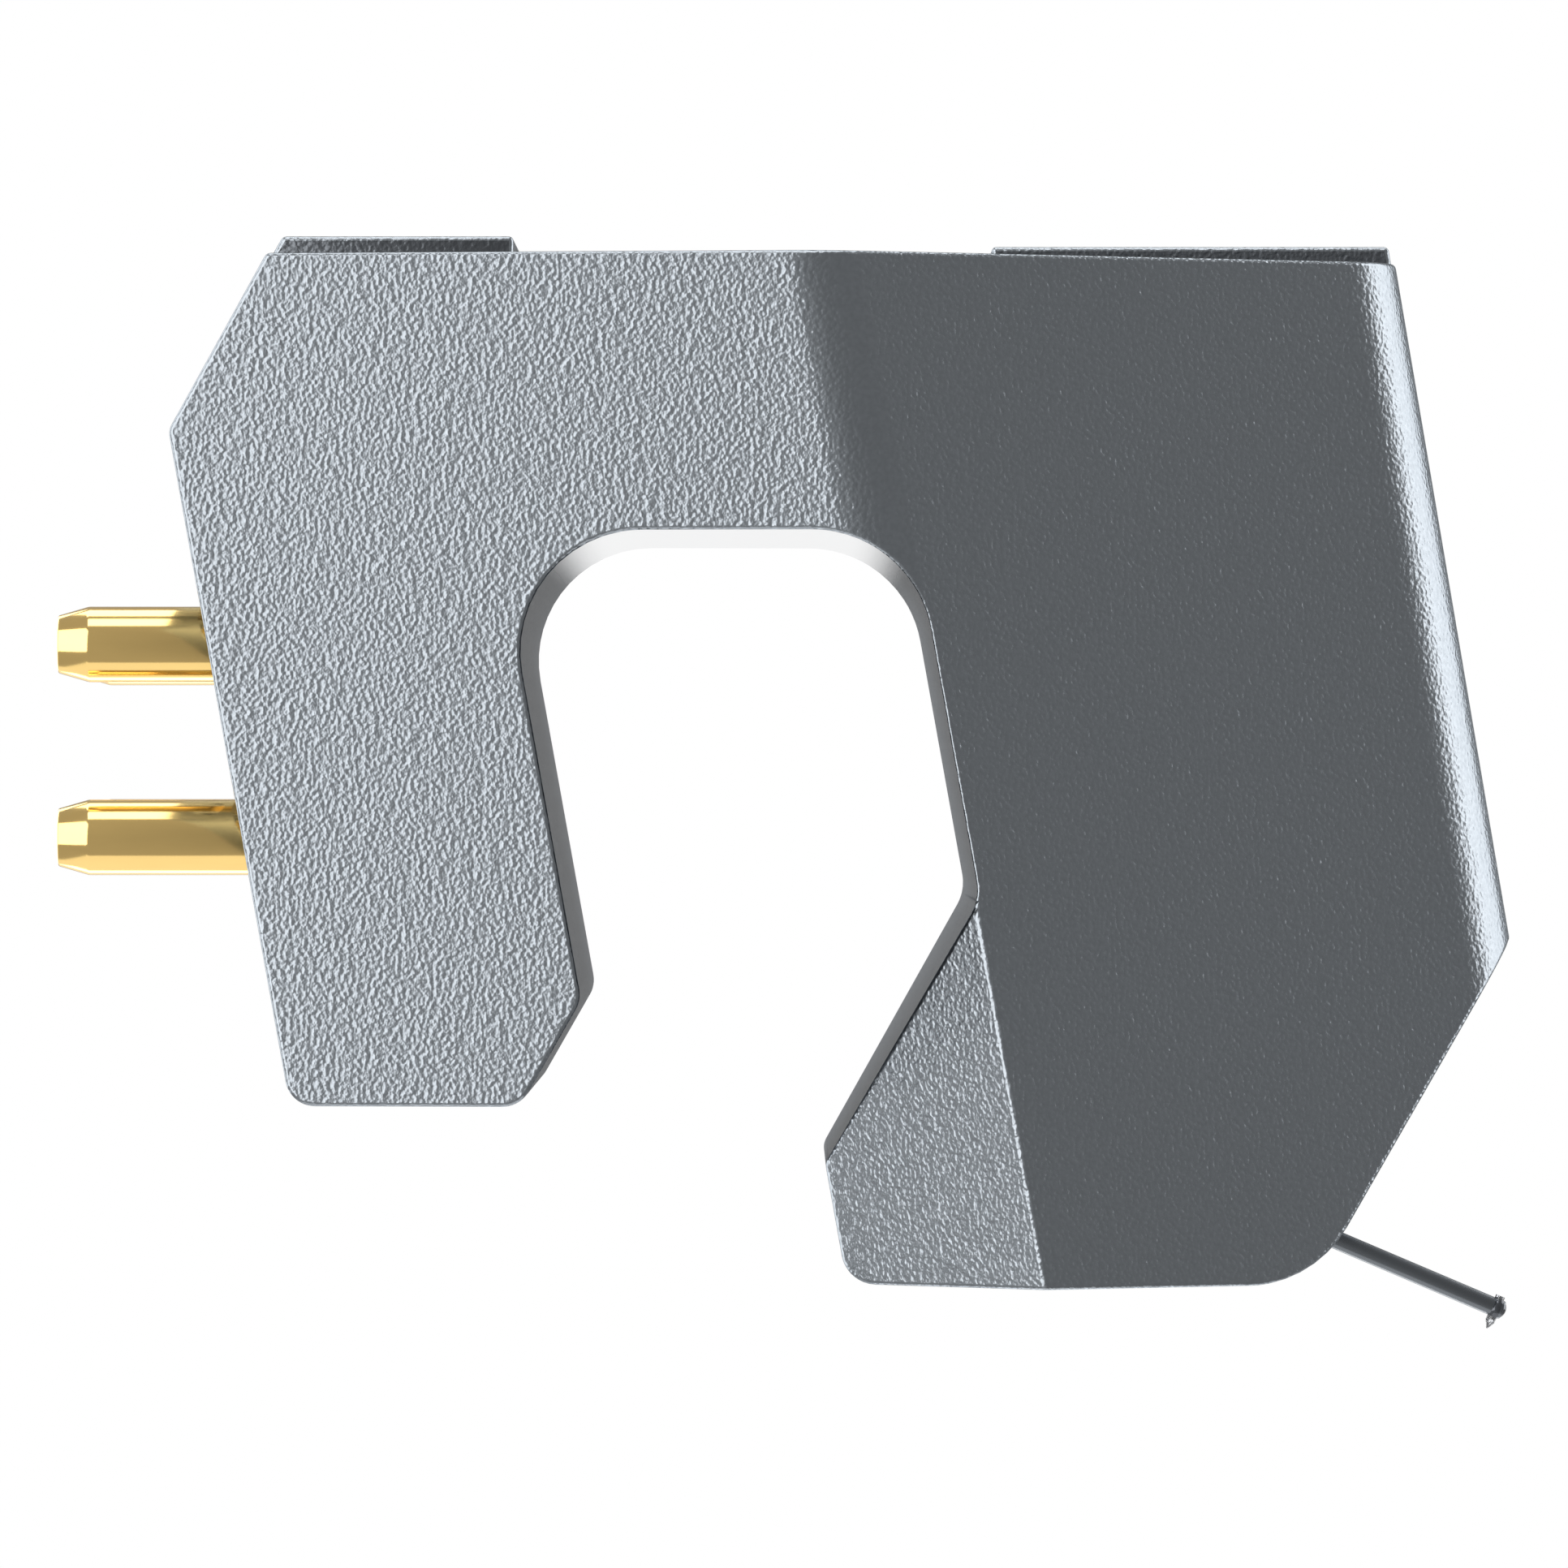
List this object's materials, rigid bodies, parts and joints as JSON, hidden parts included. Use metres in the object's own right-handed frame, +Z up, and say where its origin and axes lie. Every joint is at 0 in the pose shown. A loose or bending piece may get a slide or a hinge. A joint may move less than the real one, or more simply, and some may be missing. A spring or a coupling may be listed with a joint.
{
  "type": "turntable stylus cartridge",
  "caption": "Moving-coil pickup cartridge with a hook-shaped, faceted metal body, contact pins behind and a sprung cantilever with a stylus under the nose",
  "frame": {"origin": "midway between the two mounting holes, in the body's top face", "axes": "+X to the nose and the stylus, +Z up to the headshell, Y across"},
  "size_m": [0.0239, 0.018, 0.0178],
  "materials": {
    "blasted_metal": "blasted matt",
    "magnet_metal": "ground",
    "soft_iron": "turned",
    "steel_tube": "drawn",
    "steel_wire": "drawn",
    "screw_steel": "blackened",
    "copper_wire": "enamelled",
    "damper_rubber": "matt",
    "armature_iron": "ground",
    "copper_winding": "enamelled wire",
    "cantilever_metal": "smooth dark",
    "sleeve_metal": "turned",
    "diamond": "polished",
    "cement": "glossy",
    "gold_pin": "gold plated",
    "insulator": "moulded"
  },
  "bodies": {
    "body": {"housing": "blasted_metal", "magnet": "magnet_metal", "rear_yoke": "soft_iron", "front_yoke": "soft_iron", "suspension_pipe": "steel_tube", "suspension_wire": "steel_wire", "grub_screw": "screw_steel", "left_leads": "copper_wire", "right_leads": "copper_wire", "contact_pin_upper_left": "gold_pin", "contact_pin_upper_right": "gold_pin", "contact_pin_lower_left": "gold_pin", "contact_pin_lower_right": "gold_pin", "pin_bush_upper_left": "insulator", "pin_bush_upper_right": "insulator", "pin_bush_lower_left": "insulator", "pin_bush_lower_right": "insulator"},
    "damper_disc": {"damper": "damper_rubber"},
    "moving_system": {"armature": "armature_iron", "left_coils": "copper_winding", "right_coils": "copper_winding", "cantilever": "cantilever_metal", "cantilever_sleeve": "sleeve_metal", "stylus": "diamond", "stylus_cement": "cement"}
  },
  "joints": [
    {"name": "cantilever_swing", "type": "hinge", "parent": "body", "child": "damper_disc", "pos_m": [0.0032, 0, -0.01442], "axis": [0.3914, 0, 0.9202], "range_deg": [-4, 4], "stiffness_Nm_per_rad": 0.0024},
    {"name": "cantilever_lift", "type": "hinge", "parent": "damper_disc", "child": "moving_system", "pos_m": [0.0032, 0, -0.01442], "axis": [0, -1, 0], "range_deg": [-3, 6], "stiffness_Nm_per_rad": 0.0024}
  ]
}
